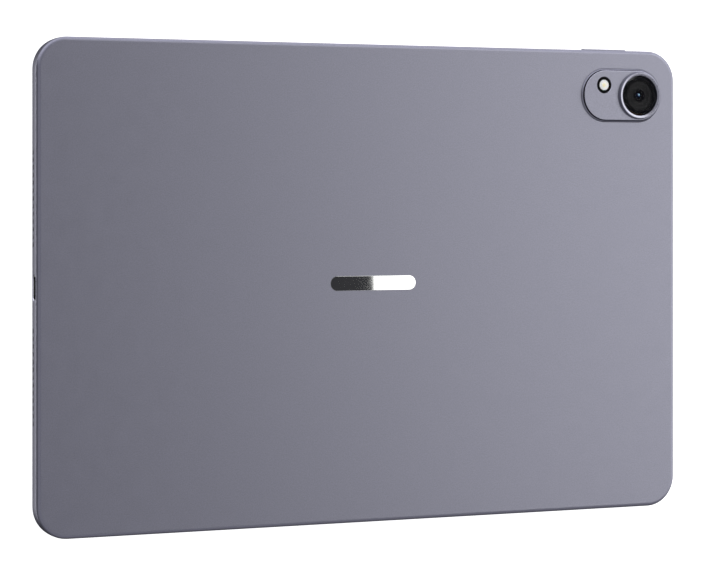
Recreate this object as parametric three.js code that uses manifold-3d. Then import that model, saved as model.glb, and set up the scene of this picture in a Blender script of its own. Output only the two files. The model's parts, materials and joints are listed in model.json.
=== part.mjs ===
// A thin 11.5-inch tablet computer as a bench assembly: a machined aluminium rear housing, the bonded
// screen that closes it, two keys that travel, and everything that the housing holds inside.
//
// Millimetres. The pieces are built about the tablet's middle, with the tablet upright: X runs along the
// long side, with the camera near the -X end, Y runs through the thickness, with the screen towards -Y
// and the back towards +Y, and Z runs up the short side. The exported group then lays the tablet on its
// screen, with the back up: the top edge faces -Y, and the glass rests on Z = 0.

import * as THREE from "three";
import { mergeVertices } from "three/addons/utils/BufferGeometryUtils.js";
import Module from "manifold-3d";

// ---------------------------------------------------------------------------------------------
// Driving dimensions
// ---------------------------------------------------------------------------------------------

// Body
const bodyLength = 261;
const bodyHeight = 177.3;
const bodyThickness = 6.2;
const cornerRadius = 11.5;

// Rear housing, a tray that is open towards the screen
const backWall = 0.8;
const sideWall = 1.6;
const backEdgeRadius = 1.5;
const cavityEdgeRadius = 2;
const rimWidth = 0.9;
const bossHeight = 0.4;
const bossRadius = 1.6;

// Screen, from the glass inwards
const glassThickness = 0.6;
const panelThickness = 0.9;
const backlightThickness = 0.7;
const traySheet = 0.2;
const trayLip = 0.3;
const bezelAtEnds = 9;
const bezelAlongEdges = 7.65;
const panelMargin = 2;
const gasketLip = 0.25;
const gasketSheet = 0.3;
const gasketWidth = 3;
const graphiteSheet = 0.1;

// Clearances
const glueLine = 0.05;
const slipGap = 0.1;
const airGap = 0.2;

// Circuit boards and flat cables
const boardThickness = 0.6;
const flexThickness = 0.15;
const connectorHeight = 0.75;
const screwShankRadius = 0.65;
const screwHeadRadius = 1.3;
const screwHeadHeight = 0.45;
const screwReach = 0.4;

// Rear camera, measured from the camera-side end and the top edge to its axis
const cameraFromEnd = 16.85;
const cameraFromTop = 17.4;
const islandMargin = 1.15;
const islandHeight = 1.3;
const islandSlopeWidth = 0.7;
const islandSlopeHeight = 0.8;
const islandFlange = 1;
const ringOuterRadius = 9.15;
const ringCrownWidth = 1.2;
const ringWall = 1.35;
const ringHeight = 1.05;
const ringSeat = 0.9;
const cameraGlassThickness = 0.5;
const cameraGlassRecess = 0.2;
const lensBarrelRadius = 4.6;
const lensRadius = 3;
const sensorBaseSide = 11;

// Flash, beside the lens ring and a little above the camera's axis
const flashFromRing = 3.32;
const flashUp = 3.9;
const flashBezelRadius = 3.08;
const flashLensRadius = 2.05;
const flashToIslandEnd = 6.37;

// Emblem, a plain polished inlay in the middle of the back
const emblemLength = 35;
const emblemHeight = 5.4;
const emblemThickness = 0.3;

// Keys
const keyThickness = 1.8;
const keyProud = 0.5;
const keyRounding = 0.25;
const keyFlangeThickness = 0.7;
const keyFlangeOverlap = 1;
const rockerLength = 19.6;
const rockerFromEnd = 29.8;
const rockerReach = 6.5;
const rockerTiltDegrees = 1.2;
const powerKeyLength = 12;
const powerKeyFromSpeaker = 2.5;
const powerKeyTravel = 0.25;
const switchRadius = 1.2;
const switchHeight = 0.9;
const keyBracketSheet = 0.5;

// Charging port and the board that carries it
const portShellWidth = 8.94;
const portShellThickness = 3.16;
const portShellWall = 0.3;
const portShellLength = 6.2;
const portRecess = 0.3;
const portTongueWidth = 6.6;
const portTongueThickness = 0.7;
const portBoardLength = 19.5;
const portBoardWidth = 22;

// Speakers, two on each short end
const speakerFromMiddle = 31.55;
const grilleCount = 13;
const grillePitch = 2.72;
const grilleSlotLength = 1.7;
const grilleSlotWidth = 0.9;
const speakerLength = 38;
const speakerWidth = 15.9;
const speakerDuctWidth = 4.4;
const speakerMeshThickness = 0.35;

// Mainboard, batteries and what lies between them
const mainboardWidth = 33;
const mainboardFromIsland = 2;
const mainboardFromBottom = 29;
const mainboardTabHeight = 22;
const cellsFromTop = 25;
const cellsFromBottom = 21;
const batteryGap = 2;
const protectionBoardLength = 66;
const protectionBoardWidth = 6;
const flexWidth = 8;
const shieldSheet = 0.2;
const shieldHeight = 1.45;
const processorSide = 14;
const processorHeight = 0.9;

// Small parts along the top edge
const frontCameraGap = 0.3;
const frontCameraRadius = 1.4;
const lightSensorOffset = 9;
const lightSensorLength = 2;
const antennaLength = 36;
const antennaHeight = 2.8;
const microphoneOffset = 30;
const microphoneHoleRadius = 0.4;

// Facets: each arc of an outline takes twice the number given, and a turned piece takes the number itself
const cornerFacets = 4;
const slotFacets = 2;
const keyFacets = 4;
const islandFacets = 8;
const roundFacets = 32;
const screwFacets = 12;

// ---------------------------------------------------------------------------------------------
// Faces and places that follow from the dimensions
// ---------------------------------------------------------------------------------------------

const endFace = bodyLength / 2;
const topFace = bodyHeight / 2;
const screenFace = -bodyThickness / 2;
const backFace = bodyThickness / 2;
const floorFace = backFace - backWall;
const innerEnd = endFace - sideWall;
const innerTop = topFace - sideWall;

// The stack behind the glass, each face further from the screen than the last
const glassBack = screenFace + glassThickness;
const gasketBack = glassBack + glueLine + gasketSheet;
const ledgeFace = gasketBack + glueLine;
const panelFront = glassBack + glueLine;
const panelBack = panelFront + panelThickness;
const backlightFront = panelBack + glueLine;
const backlightBack = backlightFront + backlightThickness;
const trayFront = backlightBack + glueLine;
const trayBack = trayFront + traySheet;
const insideFront = trayBack + airGap;

const panelEnd = endFace - bezelAtEnds + panelMargin;
const panelTop = topFace - bezelAlongEdges + panelMargin;
const gasketInset = rimWidth + glueLine;
const glassInset = gasketInset + gasketLip + glueLine;

const boardBack = floorFace - bossHeight;
const boardFront = boardBack - boardThickness;
const connectorFront = boardFront - glueLine - connectorHeight;
const flexFront = connectorFront - glueLine - flexThickness;
const lowFlexFront = trayBack + glueLine;

const cameraX = -endFace + cameraFromEnd;
const cameraZ = topFace - cameraFromTop;
const islandRadius = ringOuterRadius + islandMargin;
const flashAlong = ringOuterRadius + flashFromRing + flashBezelRadius;
const islandSpan = flashAlong + flashBezelRadius + flashToIslandEnd - islandRadius;
const islandTop = backFace + islandHeight;
const ringTop = islandTop + ringHeight;

// The keys and the grilles share the flat part of the side, between the ledge and the round back edge
const keyMiddle = ledgeFace + airGap + slipGap + keyThickness / 2;
const grilleMiddle = ledgeFace + slipGap + grilleSlotWidth / 2;
const rockerX = -endFace + rockerFromEnd;
const rockerTilt = Math.sin(THREE.MathUtils.degToRad(rockerTiltDegrees));
const powerHalfFlange = powerKeyLength / 2 + keyFlangeOverlap;
const powerKeyZ = speakerFromMiddle + speakerLength / 2 + powerKeyFromSpeaker + powerHalfFlange;

const portMiddle = boardFront - glueLine - portShellThickness / 2;
const portMouth = endFace - portRecess;
const portBoardEdge = innerEnd - cavityEdgeRadius + airGap;

const edgeStripMiddle = (panelTop + innerTop) / 2;
const mainboardEdge = -innerEnd + speakerWidth + 2;
const mainboardInnerEdge = mainboardEdge + mainboardWidth;
const linkFlexEdge = portBoardEdge - portBoardLength - flexWidth / 2;
const mainboardTop = cameraZ - islandRadius - islandFlange - mainboardFromIsland;
const mainboardBottom = -innerTop + mainboardFromBottom;
const batteryTop = innerTop - cellsFromTop;
const batteryBottom = -innerTop + cellsFromBottom;
const batterySpace = linkFlexEdge - mainboardInnerEdge - 3 * batteryGap;

const screwHoleRadius = screwShankRadius + slipGap;
const screwPlaces = {
  mainboard_screw_1: [mainboardEdge + 3, mainboardTop - 3],
  mainboard_screw_2: [mainboardInnerEdge - 3, mainboardTop - 26],
  mainboard_screw_3: [mainboardEdge + 3, mainboardBottom + 3],
  mainboard_screw_4: [mainboardInnerEdge - 3, mainboardBottom + 26],
  port_board_screw_1: [portBoardEdge - portBoardLength + 6, portBoardWidth / 2 - 3],
  port_board_screw_2: [portBoardEdge - portBoardLength + 6, -portBoardWidth / 2 + 3],
};

// ---------------------------------------------------------------------------------------------
// Outlines, solids, joining and cutting
// ---------------------------------------------------------------------------------------------

const wasm = await Module();
wasm.setup();

const axisX = new THREE.Vector3(1, 0, 0);
const axisY = new THREE.Vector3(0, 1, 0);
const axisZ = new THREE.Vector3(0, 0, 1);
const towardsScreen = new THREE.Vector3(0, -1, 0);

// A rectangle with round corners about the origin.
function roundedRectangle(width, height, radius) {
  const x = width / 2 - radius;
  const y = height / 2 - radius;
  const quarter = Math.PI / 2;
  const shape = new THREE.Shape();
  shape.absarc(x, y, radius, 0, quarter);
  shape.absarc(-x, y, radius, quarter, 2 * quarter);
  shape.absarc(-x, -y, radius, 2 * quarter, 3 * quarter);
  shape.absarc(x, -y, radius, 3 * quarter, 4 * quarter);
  return shape;
}

// A bar with half-round ends about the origin, its length along the first axis of the drawing.
function pill(length, width) {
  const reach = (length - width) / 2;
  const shape = new THREE.Shape();
  shape.absarc(reach, 0, width / 2, -Math.PI / 2, Math.PI / 2);
  shape.absarc(-reach, 0, width / 2, Math.PI / 2, 1.5 * Math.PI);
  return shape;
}

function polygon(points) {
  return new THREE.Shape(points.map(([x, y]) => new THREE.Vector2(x, y)));
}

// The body's outline in X and Z, drawn in by the inset.
function bodyOutline(inset) {
  return roundedRectangle(bodyLength - 2 * inset, bodyHeight - 2 * inset, cornerRadius - inset);
}

function bodyRing(outerInset, innerInset) {
  const shape = bodyOutline(outerInset);
  shape.holes.push(bodyOutline(innerInset));
  return shape;
}

// Sweeps an outline from low to high along an axis. A bevel rounds or slopes both ends, inside the outline.
function prism(outline, basis, low, high, facets, bevel) {
  const { width = 0, height = 0, steps = 1 } = bevel ?? {};
  const geometry = new THREE.ExtrudeGeometry(outline, {
    depth: high - low - 2 * height,
    curveSegments: facets,
    bevelEnabled: width > 0,
    bevelSize: width,
    bevelOffset: -width,
    bevelThickness: height,
    bevelSegments: steps,
  });
  return geometry.translate(0, 0, height).applyMatrix4(basis);
}

// The outline is drawn in Y and Z.
function prismX(outline, low, high, facets = slotFacets, bevel = undefined) {
  const basis = new THREE.Matrix4().makeBasis(axisY, axisZ, axisX);
  return prism(outline, basis, low, high, facets, bevel).translate(low, 0, 0);
}

// The outline is drawn in X and Z.
function prismY(outline, low, high, facets = slotFacets, bevel = undefined) {
  const basis = new THREE.Matrix4().makeBasis(axisX, axisZ, towardsScreen);
  return prism(outline, basis, low, high, facets, bevel).translate(0, high, 0);
}

// The outline is drawn in X and Y.
function prismZ(outline, low, high, facets = slotFacets, bevel = undefined) {
  const basis = new THREE.Matrix4();
  return prism(outline, basis, low, high, facets, bevel).translate(0, 0, low);
}

function box([x0, x1], [y0, y1], [z0, z1]) {
  const geometry = new THREE.BoxGeometry(x1 - x0, y1 - y0, z1 - z0);
  return geometry.translate((x0 + x1) / 2, (y0 + y1) / 2, (z0 + z1) / 2);
}

// A round bar about the Y axis.
function disc(radius, low, high, facets = roundFacets) {
  const geometry = new THREE.CylinderGeometry(radius, radius, high - low, facets);
  return geometry.translate(0, (low + high) / 2, 0);
}

// A turned piece about the Y axis, from the closed loop of its section as [radius, y] pairs.
function turned(section, facets = roundFacets) {
  const loop = [...section, section[0]].map(([r, y]) => new THREE.Vector2(r, y));
  return new THREE.LatheGeometry(loop, facets);
}

function solidOf(geometry) {
  const bare = geometry.clone();
  bare.deleteAttribute("normal");
  bare.deleteAttribute("uv");
  const merged = mergeVertices(bare);
  const mesh = new wasm.Mesh({
    numProp: 3,
    vertProperties: merged.attributes.position.array,
    triVerts: new Uint32Array(merged.index.array),
  });
  return new wasm.Manifold(mesh);
}

function geometryOf(solid) {
  const mesh = solid.getMesh();
  const geometry = new THREE.BufferGeometry();
  geometry.setAttribute("position", new THREE.BufferAttribute(mesh.vertProperties, 3));
  geometry.setIndex(new THREE.BufferAttribute(mesh.triVerts, 1));
  geometry.computeVertexNormals();
  return geometry;
}

function join(first, ...others) {
  return geometryOf(others.reduce((sum, other) => sum.add(solidOf(other)), solidOf(first)));
}

function cut(first, ...tools) {
  return geometryOf(tools.reduce((rest, tool) => rest.subtract(solidOf(tool)), solidOf(first)));
}

// ---------------------------------------------------------------------------------------------
// Finishes: colour, roughness and metalness
// ---------------------------------------------------------------------------------------------

const finishes = {
  greyAluminium: [0x8c8c96, 0.42, 0.9],
  polishedMetal: [0xd8d8dc, 0.08, 1],
  darkMetal: [0x55555c, 0.35, 1],
  steel: [0xb4b4b8, 0.3, 1],
  copper: [0xc98a4a, 0.35, 1],
  blackPlastic: [0x111114, 0.55, 0],
  blackGlass: [0x050507, 0.05, 0],
  clearGlass: [0xdfe6ea, 0.04, 0],
  lensGlass: [0x1a2440, 0.03, 0],
  diffuser: [0xf4efdc, 0.35, 0],
  panel: [0x1b1d22, 0.2, 0],
  whiteFilm: [0xe8e8e6, 0.5, 0],
  graphite: [0x2a2b2e, 0.6, 0.2],
  greenBoard: [0x14452f, 0.45, 0],
  amberFlex: [0xb1701f, 0.4, 0],
  pouch: [0x2f3136, 0.4, 0.3],
  meshCloth: [0x18181a, 0.9, 0],
  chip: [0x1c1c1f, 0.35, 0],
};

function piece(name, geometry, finish, x = 0, y = 0, z = 0) {
  const [color, roughness, metalness] = finishes[finish];
  const material = new THREE.MeshStandardMaterial({ color, roughness, metalness });
  const mesh = new THREE.Mesh(geometry, material);
  mesh.name = name;
  mesh.position.set(x, y, z);
  return mesh;
}

// ---------------------------------------------------------------------------------------------
// Rear housing
// ---------------------------------------------------------------------------------------------

// The raised camera plate's outline about the camera's axis, its other end islandSpan away.
function islandOutline(margin = 0) {
  const radius = islandRadius + margin;
  const shape = new THREE.Shape();
  shape.absarc(islandSpan, 0, radius, -Math.PI / 2, Math.PI / 2);
  shape.absarc(0, 0, radius, Math.PI / 2, 1.5 * Math.PI);
  return shape;
}

function grilleSlots() {
  const slots = [];
  const middle = (grilleCount - 1) / 2;
  for (const end of [-1, 1]) {
    for (const row of [-1, 1]) {
      for (let i = 0; i < grilleCount; i += 1) {
        const slot = prismX(pill(grilleSlotLength, grilleSlotWidth), -2 * sideWall, 2 * sideWall);
        const z = row * speakerFromMiddle + (i - middle) * grillePitch;
        slots.push(slot.rotateX(Math.PI / 2).translate(end * endFace, grilleMiddle, z));
      }
    }
  }
  return slots;
}

function keySlots() {
  const width = keyThickness + 2 * slipGap;
  const rockerSlot = pill(rockerLength + 4 * slipGap, width);
  const powerSlot = pill(powerKeyLength + 2 * slipGap, width);
  return [
    prismZ(rockerSlot, innerTop - sideWall, topFace + sideWall, keyFacets)
      .translate(rockerX, keyMiddle, 0),
    prismX(powerSlot, -sideWall - endFace, sideWall - endFace, keyFacets)
      .rotateX(Math.PI / 2)
      .translate(0, keyMiddle, powerKeyZ),
  ];
}

function portSlot() {
  const margin = 2 * slipGap;
  const outline = pill(portShellWidth + margin, portShellThickness + margin);
  return prismX(outline, innerEnd - sideWall, endFace + sideWall, keyFacets)
    .rotateX(Math.PI / 2)
    .translate(0, portMiddle, 0);
}

function microphoneHole() {
  return new THREE.CylinderGeometry(microphoneHoleRadius, microphoneHoleRadius, 4 * sideWall, 8)
    .rotateX(Math.PI / 2)
    .translate(microphoneOffset, grilleMiddle, topFace);
}

function rearHousing() {
  const spare = 2 * backEdgeRadius;
  const roundBack = { width: backEdgeRadius, height: backEdgeRadius, steps: 5 };
  const roundFloor = { width: cavityEdgeRadius, height: cavityEdgeRadius, steps: 3 };
  const block = prismY(bodyOutline(0), screenFace - spare, backFace, cornerFacets, roundBack);
  const opening = box(
    [-bodyLength, bodyLength], [screenFace - 2 * spare, screenFace], [-bodyHeight, bodyHeight]);
  const recess = prismY(bodyOutline(rimWidth), screenFace - spare, ledgeFace, cornerFacets);
  const cavity = prismY(bodyOutline(sideWall), screenFace - spare, floorFace, cornerFacets, roundFloor);
  const tray = cut(block, opening, recess, cavity);

  const places = Object.values(screwPlaces);
  const bosses = places.map(([x, z]) =>
    disc(bossRadius, boardBack + glueLine, floorFace + backWall / 2, screwFacets).translate(x, 0, z));
  const screwHoles = places.map(([x, z]) =>
    disc(screwHoleRadius, boardBack - bossHeight, boardBack + screwReach + slipGap, screwFacets)
      .translate(x, 0, z));
  const islandHole = prismY(islandOutline(slipGap), floorFace - backWall, backFace + backWall, islandFacets)
    .translate(cameraX, 0, cameraZ);
  const emblemPocket = prismY(
    pill(emblemLength + 2 * glueLine, emblemHeight + 2 * glueLine),
    backFace - emblemThickness - glueLine, backFace + backWall, cornerFacets,
  );
  return cut(
    join(tray, ...bosses),
    ...screwHoles, ...grilleSlots(), ...keySlots(), portSlot(), microphoneHole(), islandHole, emblemPocket,
  );
}

function emblemPlate() {
  const bevel = { width: 2 * glueLine, height: glueLine };
  return prismY(pill(emblemLength, emblemHeight), backFace - emblemThickness, backFace, cornerFacets, bevel);
}

// ---------------------------------------------------------------------------------------------
// Screen
// ---------------------------------------------------------------------------------------------

function frontCameraOpening(margin) {
  return disc(frontCameraRadius + margin, screenFace - 1, insideFront, 16).translate(0, 0, edgeStripMiddle);
}

function lightSensorOpening(margin) {
  const reach = lightSensorLength / 2 + margin;
  return box(
    [lightSensorOffset - reach, lightSensorOffset + reach],
    [screenFace - 1, insideFront],
    [edgeStripMiddle - reach, edgeStripMiddle + reach],
  );
}

function coverGlass() {
  const bevel = { width: 2 * glueLine, height: 2 * glueLine };
  return prismY(bodyOutline(glassInset), screenFace, glassBack, cornerFacets, bevel);
}

function displayGasket() {
  const lip = prismY(
    bodyRing(gasketInset, gasketInset + gasketLip), screenFace + slipGap, gasketBack - glueLine, cornerFacets);
  const flange = prismY(
    bodyRing(gasketInset, gasketInset + gasketWidth), glassBack + glueLine, gasketBack, cornerFacets);
  return cut(join(flange, lip), frontCameraOpening(slipGap), lightSensorOpening(slipGap));
}

function screenLayer(inset, front, back) {
  return box([-panelEnd + inset, panelEnd - inset], [front, back], [-panelTop + inset, panelTop - inset]);
}

function displayTray() {
  const pocket = screenLayer(trayLip, backlightFront - 1, trayFront);
  return cut(screenLayer(0, backlightFront, trayBack), pocket);
}

// Runs from the panel's bottom edge round the tray and up to its connector on the mainboard.
function displayFlex(left, right) {
  const fold = -panelTop - airGap;
  const outerFold = fold - flexThickness;
  const front = panelBack - flexThickness;
  const connectorZ = mainboardBottom + 14;
  const section = polygon([
    [front, fold], [front, outerFold], [lowFlexFront + flexThickness, outerFold],
    [lowFlexFront + flexThickness, connectorZ], [lowFlexFront, connectorZ], [lowFlexFront, fold],
  ]);
  return prismX(section, left, right);
}

// ---------------------------------------------------------------------------------------------
// Rear camera and flash, about the camera's axis
// ---------------------------------------------------------------------------------------------

const ringNeck = ringOuterRadius - 0.85;
const ringInner = ringOuterRadius - ringWall;
const cameraGlassTop = ringTop - cameraGlassRecess;
const cameraGlassBottom = cameraGlassTop - cameraGlassThickness;

function cameraIsland() {
  const slope = { width: islandSlopeWidth, height: islandSlopeHeight };
  const flangeBack = floorFace - glueLine;
  const flange = prismY(islandOutline(islandFlange), flangeBack - 0.5, flangeBack, islandFacets);
  const neck = prismY(islandOutline(), flangeBack - 0.25, islandTop - islandSlopeHeight, islandFacets);
  const crown = prismY(islandOutline(), backFace - islandSlopeHeight, islandTop, islandFacets, slope);
  const ringHole = disc(ringNeck + slipGap, flangeBack - 1, islandTop + 1);
  const flashHole = disc(flashBezelRadius + glueLine, flangeBack - 1, islandTop + 1)
    .translate(flashAlong, 0, flashUp);
  return cut(join(flange, neck, crown), ringHole, flashHole);
}

function cameraTrimRing() {
  const foot = floorFace - glueLine;
  const seatTop = cameraGlassBottom - glueLine;
  const shoulder = islandTop + glueLine;
  const crownOuter = ringInner + ringCrownWidth;
  const rounding = 0.15;
  return turned([
    [ringInner - ringSeat, foot],
    [ringNeck, foot],
    [ringNeck, shoulder],
    [ringOuterRadius, shoulder],
    [crownOuter, ringTop - rounding],
    [crownOuter - rounding, ringTop],
    [ringInner + rounding, ringTop],
    [ringInner, ringTop - rounding],
    [ringInner, seatTop],
    [ringInner - ringSeat, seatTop],
  ], 48);
}

function cameraLightMask() {
  const top = cameraGlassBottom - 2 * glueLine;
  const outer = ringInner - ringSeat - glueLine;
  return turned([
    [lensRadius + 0.5, top - 0.3],
    [outer, top - 0.3],
    [outer, top],
    [lensRadius + 1.2, top],
  ]);
}

const barrelFoot = floorFace - airGap;
const barrelTop = cameraGlassBottom - 0.5;

function cameraLensBarrel() {
  const bore = disc(lensRadius + glueLine, barrelTop - 0.9, barrelTop + 1);
  return cut(disc(lensBarrelRadius, barrelFoot + glueLine, barrelTop), bore);
}

// A shallow dome that sits in the barrel's bore.
function cameraFrontLens() {
  const foot = barrelTop - 0.9 + glueLine;
  const edge = foot + 0.35;
  const rise = 0.35;
  const section = [[0, foot], [lensRadius, foot]];
  for (let i = 0; i <= 4; i += 1) {
    const turn = (i / 4) * (Math.PI / 2);
    section.push([lensRadius * Math.cos(turn), edge + rise * Math.sin(turn)]);
  }
  return turned(section);
}

function sensorBase() {
  const half = sensorBaseSide / 2;
  return box([-half, half], [insideFront + flexThickness + glueLine, barrelFoot], [-half, half]);
}

// A flat cable from the sensor down to the mainboard, outline in X and Z about the camera's axis.
function rearCameraFlex() {
  const half = sensorBaseSide / 2;
  const boardX = mainboardEdge - cameraX + 6;
  const boardZ = mainboardTop - cameraZ - 12;
  const turn = -half - 1;
  const outline = polygon([
    [-half + 1, half - 1], [-half + 1, turn - 4], [boardX, turn - 4], [boardX, boardZ],
    [boardX + flexWidth, boardZ], [boardX + flexWidth, turn], [half - 1, turn], [half - 1, half - 1],
  ]);
  return prismY(outline, insideFront, insideFront + flexThickness);
}

const flashFoot = floorFace - 0.5;

function flashBezel() {
  const foot = flashFoot;
  return turned([
    [flashLensRadius + glueLine, foot],
    [flashBezelRadius, foot],
    [flashBezelRadius, islandTop],
    [flashLensRadius + glueLine, islandTop],
  ]);
}

function flashLens() {
  return disc(flashLensRadius, islandTop - 0.9, islandTop - glueLine);
}

function flashLedBoard() {
  const boardEdge = flashFoot - glueLine;
  const emitter = disc(flashLensRadius - 0.7, boardEdge - 0.1, islandTop - 1, 16);
  return join(box([-3.5, 3.5], [boardEdge - 0.5, boardEdge], [-3.5, 3.5]), emitter);
}

// ---------------------------------------------------------------------------------------------
// Keys and their switches
// ---------------------------------------------------------------------------------------------

const rockerHalfFlange = rockerLength / 2 + keyFlangeOverlap;
const keyFlangeTop = innerTop - rockerHalfFlange * rockerTilt - glueLine;
const keyFlangeBottom = keyFlangeTop - keyFlangeThickness;
const keyCapBevel = { width: keyRounding, height: keyRounding, steps: 2 };
const keyBracketFoot = panelTop + airGap;
const keyFlexFoot = keyBracketFoot + keyBracketSheet + glueLine;
const switchFoot = keyFlexFoot + flexThickness + glueLine;
const switchTop = switchFoot + switchHeight;

// About the rocker's middle, with Z measured from the tablet's middle.
function volumeRocker() {
  const outline = pill(rockerLength, keyThickness);
  const cap = prismZ(outline, keyFlangeBottom, topFace + keyProud, keyFacets, keyCapBevel);
  const flange = prismZ(pill(2 * rockerHalfFlange, keyThickness), keyFlangeBottom, keyFlangeTop, keyFacets);
  const halfNub = 0.8;
  const nubFoot = switchTop + (rockerReach + halfNub) * rockerTilt + glueLine;
  const nubs = [-rockerReach, rockerReach].map((x) =>
    box([x - halfNub, x + halfNub], [-halfNub, halfNub], [nubFoot, keyFlangeBottom + glueLine]));
  return join(cap, flange, ...nubs);
}

// A bent steel strip with a rib in the middle that the rocker tips over.
function volumeKeyBracket() {
  const reach = rockerLength / 2 + 2;
  const strip = box([-reach, reach], [-1, 1], [keyBracketFoot, keyBracketFoot + keyBracketSheet]);
  const rib = box([-0.4, 0.4], [-0.8, 0.8], [keyBracketFoot, keyFlangeBottom - glueLine]);
  return join(strip, rib);
}

function volumeKeyFlex() {
  const reach = rockerLength / 2 + 1;
  const strip = box([-reach, reach], [-1, 1], [keyFlexFoot, keyFlexFoot + flexThickness]);
  const slot = box([-0.6, 0.6], [-0.9, 0.9], [keyFlexFoot - 1, keyFlexFoot + 1]);
  return cut(strip, slot);
}

function dome() {
  const low = switchHeight * 0.6;
  const section = [
    [0, 0], [switchRadius, 0], [switchRadius, low], [switchRadius * 0.6, switchHeight], [0, switchHeight],
  ];
  return turned(section, 16);
}

// The power key and its switch are built about the key's middle, with X measured from the tablet's middle.
const powerFlangeOuter = innerEnd - glueLine;
const powerFlangeInner = powerFlangeOuter - keyFlangeThickness;
const powerBracketFoot = panelEnd + airGap;
const powerFlexFoot = powerBracketFoot + keyBracketSheet + glueLine;
const powerSwitchFoot = powerFlexFoot + flexThickness + glueLine;
const powerSwitchTop = powerSwitchFoot + switchHeight;

function powerButton() {
  const outline = pill(powerKeyLength, keyThickness);
  const cap = prismX(outline, -endFace - keyProud, -powerFlangeInner, keyFacets, keyCapBevel);
  const flange = prismX(
    pill(2 * powerHalfFlange, keyThickness), -powerFlangeOuter, -powerFlangeInner, keyFacets);
  const plunger = box(
    [-powerFlangeInner - glueLine, -powerSwitchTop - powerKeyTravel - glueLine], [-0.8, 0.8], [-0.8, 0.8]);
  return join(cap.rotateX(Math.PI / 2), flange.rotateX(Math.PI / 2), plunger);
}

// ---------------------------------------------------------------------------------------------
// Charging port
// ---------------------------------------------------------------------------------------------

const portShellBack = portMouth - portShellLength;

function portOutline(inset) {
  return pill(portShellWidth - 2 * inset, portShellThickness - 2 * inset);
}

function portShell() {
  const tube = prismX(portOutline(0), portShellBack, portMouth, keyFacets);
  const bore = prismX(portOutline(portShellWall), portShellBack + portShellWall, portMouth + 1, keyFacets);
  return cut(tube.rotateX(Math.PI / 2), bore.rotateX(Math.PI / 2));
}

function portTongue() {
  const back = portShellBack + portShellWall + glueLine;
  const base = prismX(portOutline(portShellWall + glueLine), back, back + 1.2, keyFacets).rotateX(Math.PI / 2);
  const halfWidth = portTongueWidth / 2;
  const halfThickness = portTongueThickness / 2;
  const tongue = box([back, portMouth - 0.8], [-halfThickness, halfThickness], [-halfWidth, halfWidth]);
  return join(base, tongue);
}

function connector(x, z, width, height) {
  return box(
    [x - width / 2, x + width / 2],
    [connectorFront, boardFront + boardThickness / 2],
    [z - height / 2, z + height / 2],
  );
}

function screwHolesFor(prefix) {
  return Object.entries(screwPlaces)
    .filter(([name]) => name.startsWith(prefix))
    .map(([, [x, z]]) => disc(screwHoleRadius, boardFront - 1, boardBack + 1, screwFacets).translate(x, 0, z));
}

const portFlexX = portBoardEdge - portBoardLength + 1.8;

function portBoard() {
  const board = box(
    [portBoardEdge - portBoardLength, portBoardEdge], [boardFront, boardBack],
    [-portBoardWidth / 2, portBoardWidth / 2],
  );
  return cut(join(board, connector(portFlexX, 0, 2.6, 7)), ...screwHolesFor("port"));
}

// ---------------------------------------------------------------------------------------------
// Speakers, built for the end that side names and about the middle of their height
// ---------------------------------------------------------------------------------------------

const speakerMeshInner = innerEnd - glueLine - speakerMeshThickness;
const speakerOuter = speakerMeshInner - glueLine;

function speakerModule(side) {
  const inner = speakerOuter - speakerWidth;
  const ductInner = speakerOuter - speakerDuctWidth;
  const back = floorFace - airGap;
  const chamfer = cavityEdgeRadius - airGap;
  const section = polygon([
    [side * speakerOuter, ledgeFace + slipGap],
    [side * speakerOuter, back - chamfer],
    [side * (speakerOuter - chamfer), back],
    [side * inner, back],
    [side * inner, insideFront],
    [side * ductInner, insideFront],
    [side * ductInner, ledgeFace + slipGap],
  ]);
  const half = speakerLength / 2;
  const ductHalf = half - 2;
  const mouth = box(
    [side > 0 ? speakerOuter - 1.5 : -speakerOuter - 1, side > 0 ? speakerOuter + 1 : -speakerOuter + 1.5],
    [grilleMiddle - grilleSlotWidth / 2, grilleMiddle + grilleSlotWidth / 2],
    [-ductHalf, ductHalf],
  );
  return cut(prismZ(section, -half, half), mouth);
}

function speakerMesh(side) {
  const half = speakerLength / 2 - 1;
  const near = side * speakerMeshInner;
  const far = side * (speakerMeshInner + speakerMeshThickness);
  return box([Math.min(near, far), Math.max(near, far)], [ledgeFace + slipGap, -ledgeFace - 2], [-half, half]);
}

// ---------------------------------------------------------------------------------------------
// Mainboard, batteries and flat cables
// ---------------------------------------------------------------------------------------------

const displayFlexLeft = mainboardInnerEdge - flexWidth - 4;
const linkConnectorZ = mainboardBottom + 8;
const linkConnectorX = mainboardEdge + 12;
const batteryConnectorX = mainboardInnerEdge - 6;
const batteryConnectorZ = mainboardTop - 8;
const cameraConnectorX = mainboardEdge + 6 + flexWidth / 2;
const cameraConnectorZ = mainboardTop - 10;

// A tall board with a tab that reaches out between the two speakers of its end.
function mainboard() {
  const top = mainboardTop;
  const bottom = mainboardBottom;
  const tab = mainboardTabHeight / 2;
  const tabEdge = -portBoardEdge;
  const outline = polygon([
    [mainboardEdge, bottom], [mainboardInnerEdge, bottom], [mainboardInnerEdge, top], [mainboardEdge, top],
    [mainboardEdge, tab], [tabEdge, tab], [tabEdge, -tab], [mainboardEdge, -tab],
  ]);
  const board = prismY(outline, boardFront, boardBack);
  const sockets = [
    connector(linkConnectorX, linkConnectorZ, 7, 3),
    connector(batteryConnectorX, batteryConnectorZ, 7, 3),
    connector(cameraConnectorX, cameraConnectorZ, 7, 3),
  ];
  return cut(join(board, ...sockets), ...screwHolesFor("mainboard"));
}

// A pressed can over a block of chips, open towards the board.
function shieldCan(width, height) {
  const front = boardFront - glueLine - shieldHeight;
  const back = boardFront - glueLine;
  const can = box([-width / 2, width / 2], [front, back], [-height / 2, height / 2]);
  const x = width / 2 - shieldSheet;
  const z = height / 2 - shieldSheet;
  return cut(can, box([-x, x], [front + shieldSheet, back + 1], [-z, z]));
}

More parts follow.
